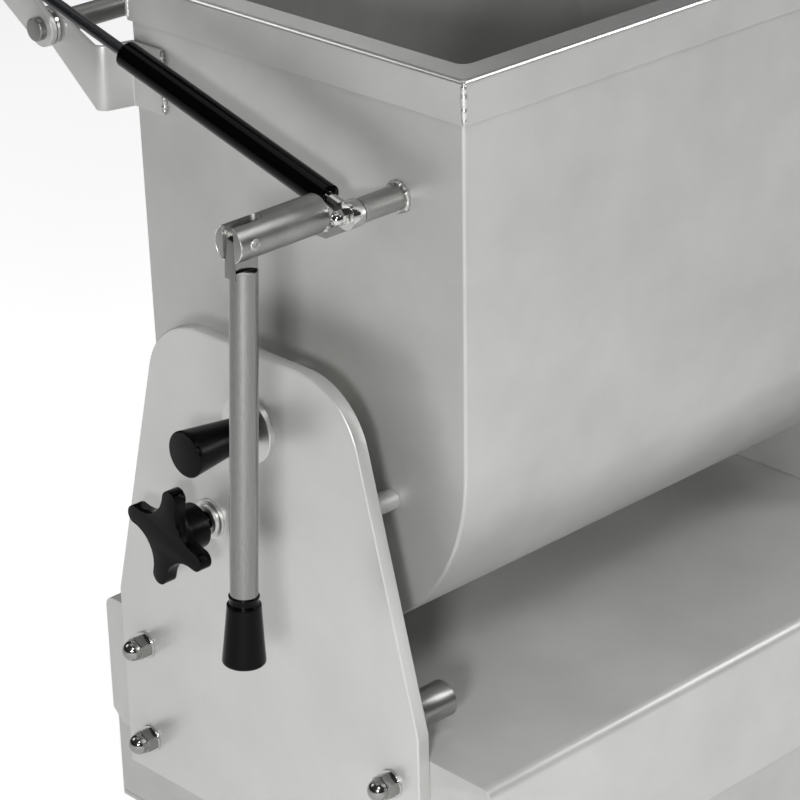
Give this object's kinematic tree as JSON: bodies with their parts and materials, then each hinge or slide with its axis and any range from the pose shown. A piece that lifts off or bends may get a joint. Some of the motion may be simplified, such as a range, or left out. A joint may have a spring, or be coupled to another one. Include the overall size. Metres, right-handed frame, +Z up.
{
  "type": "meat mixer",
  "caption": "Tilting stainless steel meat mixer with a round-bottomed tank, hinged lid on a gas strut, folding tilt handle, side plate, drive column and low base.",
  "frame": {"origin": "middle of the machine's footprint on the floor, with the lid open and the handle hanging", "axes": "+X along the tank from the side plate to the drive column, +Y to the back where the lid is hinged, +Z up"},
  "size_m": [0.7954, 0.5506, 1.0381],
  "materials": {
    "satin_steel": "bead-blasted satin stainless steel",
    "brushed_bar": "brushed stainless bar",
    "bright_steel": "polished stainless steel",
    "black_plastic": "gloss black moulded plastic",
    "black_paint": "gloss black painted steel",
    "rubber": "matt black rubber",
    "bush_plastic": "natural bearing plastic",
    "grey_paint": "grey machine enamel",
    "panel_plastic": "dark grey matt plastic",
    "green_plastic": "green moulded plastic",
    "red_plastic": "red moulded plastic",
    "switch_plastic": "light grey matt plastic"
  },
  "bodies": {
    "frame": {"base_chassis": "satin_steel", "base_floor": "satin_steel", "base_cover": "satin_steel", "feet": "rubber", "foot_studs": "brushed_bar", "side_plate": "satin_steel", "plate_studs": "brushed_bar", "plate_washers": "bright_steel", "plate_nuts": "bright_steel", "stop_pin": "brushed_bar", "stub_bush": "bush_plastic", "column_shell": "satin_steel", "column_cover": "satin_steel", "bearing_plate": "satin_steel", "drive_bush": "bush_plastic", "gearbox": "grey_paint", "motor": "grey_paint", "fan_cowl": "panel_plastic", "switch_box": "switch_plastic", "cable_gland": "panel_plastic", "control_panel": "panel_plastic", "button_bezels": "bright_steel", "clamp_washers": "bright_steel"},
    "forward_button": {"forward_button": "green_plastic"},
    "reverse_button": {"reverse_button": "black_plastic"},
    "stop_button": {"stop_button": "red_plastic"},
    "star_knob": {"star_knob": "black_plastic"},
    "tank": {"tank_shell": "satin_steel", "tank_rim": "satin_steel", "stub_trunnion": "brushed_bar", "drive_trunnion": "brushed_bar", "lock_quadrant": "satin_steel", "handle_post": "brushed_bar", "handle_lug": "brushed_bar", "handle_socket": "brushed_bar", "arm_pin": "bright_steel", "strut_stud": "bright_steel", "strut_washer": "bright_steel", "strut_nut": "bright_steel", "hinge_bracket": "satin_steel", "hinge_bracket_rear": "satin_steel", "hinge_rod": "brushed_bar", "hinge_collars": "bright_steel", "shaft_seal": "rubber"},
    "arm": {"handle_arm": "brushed_bar", "arm_grip": "black_plastic"},
    "lid": {"lid_panel": "satin_steel", "lid_arm": "satin_steel", "lid_arm_rear": "satin_steel", "lid_handle": "brushed_bar"},
    "strut_tube": {"strut_tube": "black_paint"},
    "strut_rod": {"strut_rod": "bright_steel", "strut_pin": "bright_steel"},
    "release": {"release_pin": "brushed_bar", "release_knob": "black_plastic"},
    "shaft": {"drive_shaft": "brushed_bar", "mixing_shaft": "brushed_bar", "paddle_arms": "brushed_bar", "paddle_blades": "brushed_bar"}
  },
  "joints": [
    {"name": "tank_tilt", "type": "hinge", "parent": "frame", "child": "tank", "pos_m": [-0.25581, -0.07028, 0.4275], "axis": [1, 0, 0], "range_deg": [0, 96]},
    {"name": "lid_hinge", "type": "hinge", "parent": "tank", "child": "lid", "pos_m": [-0.25581, 0.13722, 0.6505], "axis": [1, 0, 0], "range_deg": [0, 105]},
    {"name": "strut_swing", "type": "hinge", "parent": "tank", "child": "strut_tube", "pos_m": [-0.2968, -0.16788, 0.5995], "axis": [1, 0, 0], "range_deg": [0, 6]},
    {"name": "strut_slide", "type": "slide", "parent": "strut_tube", "child": "strut_rod", "axis": [0, 0.9655, 0.2603], "range_m": [-0.108, 0]},
    {"name": "arm_fold", "type": "hinge", "parent": "tank", "child": "arm", "pos_m": [-0.3668, -0.14768, 0.598], "axis": [0, 1, 0], "range_deg": [0, 176]},
    {"name": "star_knob_turn", "type": "hinge", "parent": "frame", "child": "star_knob", "pos_m": [-0.34281, -0.02508, 0.3465], "axis": [1, 0, 0], "range_deg": [-360, 0]},
    {"name": "release_pull", "type": "slide", "parent": "tank", "child": "release", "axis": [-1, 0, 0], "range_m": [0, 0.036]},
    {"name": "shaft_spin", "type": "hinge", "parent": "frame", "child": "shaft", "pos_m": [-0.25581, -0.07028, 0.4275], "axis": [1, 0, 0], "continuous": true},
    {"name": "forward_button_press", "type": "slide", "parent": "frame", "child": "forward_button", "axis": [0, 1, 0], "range_m": [0, 0.004], "stiffness_N_per_m": 600, "springref_m": -0.002},
    {"name": "reverse_button_press", "type": "slide", "parent": "frame", "child": "reverse_button", "axis": [0, 1, 0], "range_m": [0, 0.004], "stiffness_N_per_m": 600, "springref_m": -0.002},
    {"name": "stop_button_press", "type": "slide", "parent": "frame", "child": "stop_button", "axis": [0, 1, 0], "range_m": [0, 0.005], "stiffness_N_per_m": 600, "springref_m": -0.002}
  ],
  "couplings": [
    {"joint": "strut_swing", "follows": "lid_hinge", "ratio": 0.043272},
    {"joint": "strut_slide", "follows": "lid_hinge", "m_per_rad": -0.057322}
  ]
}
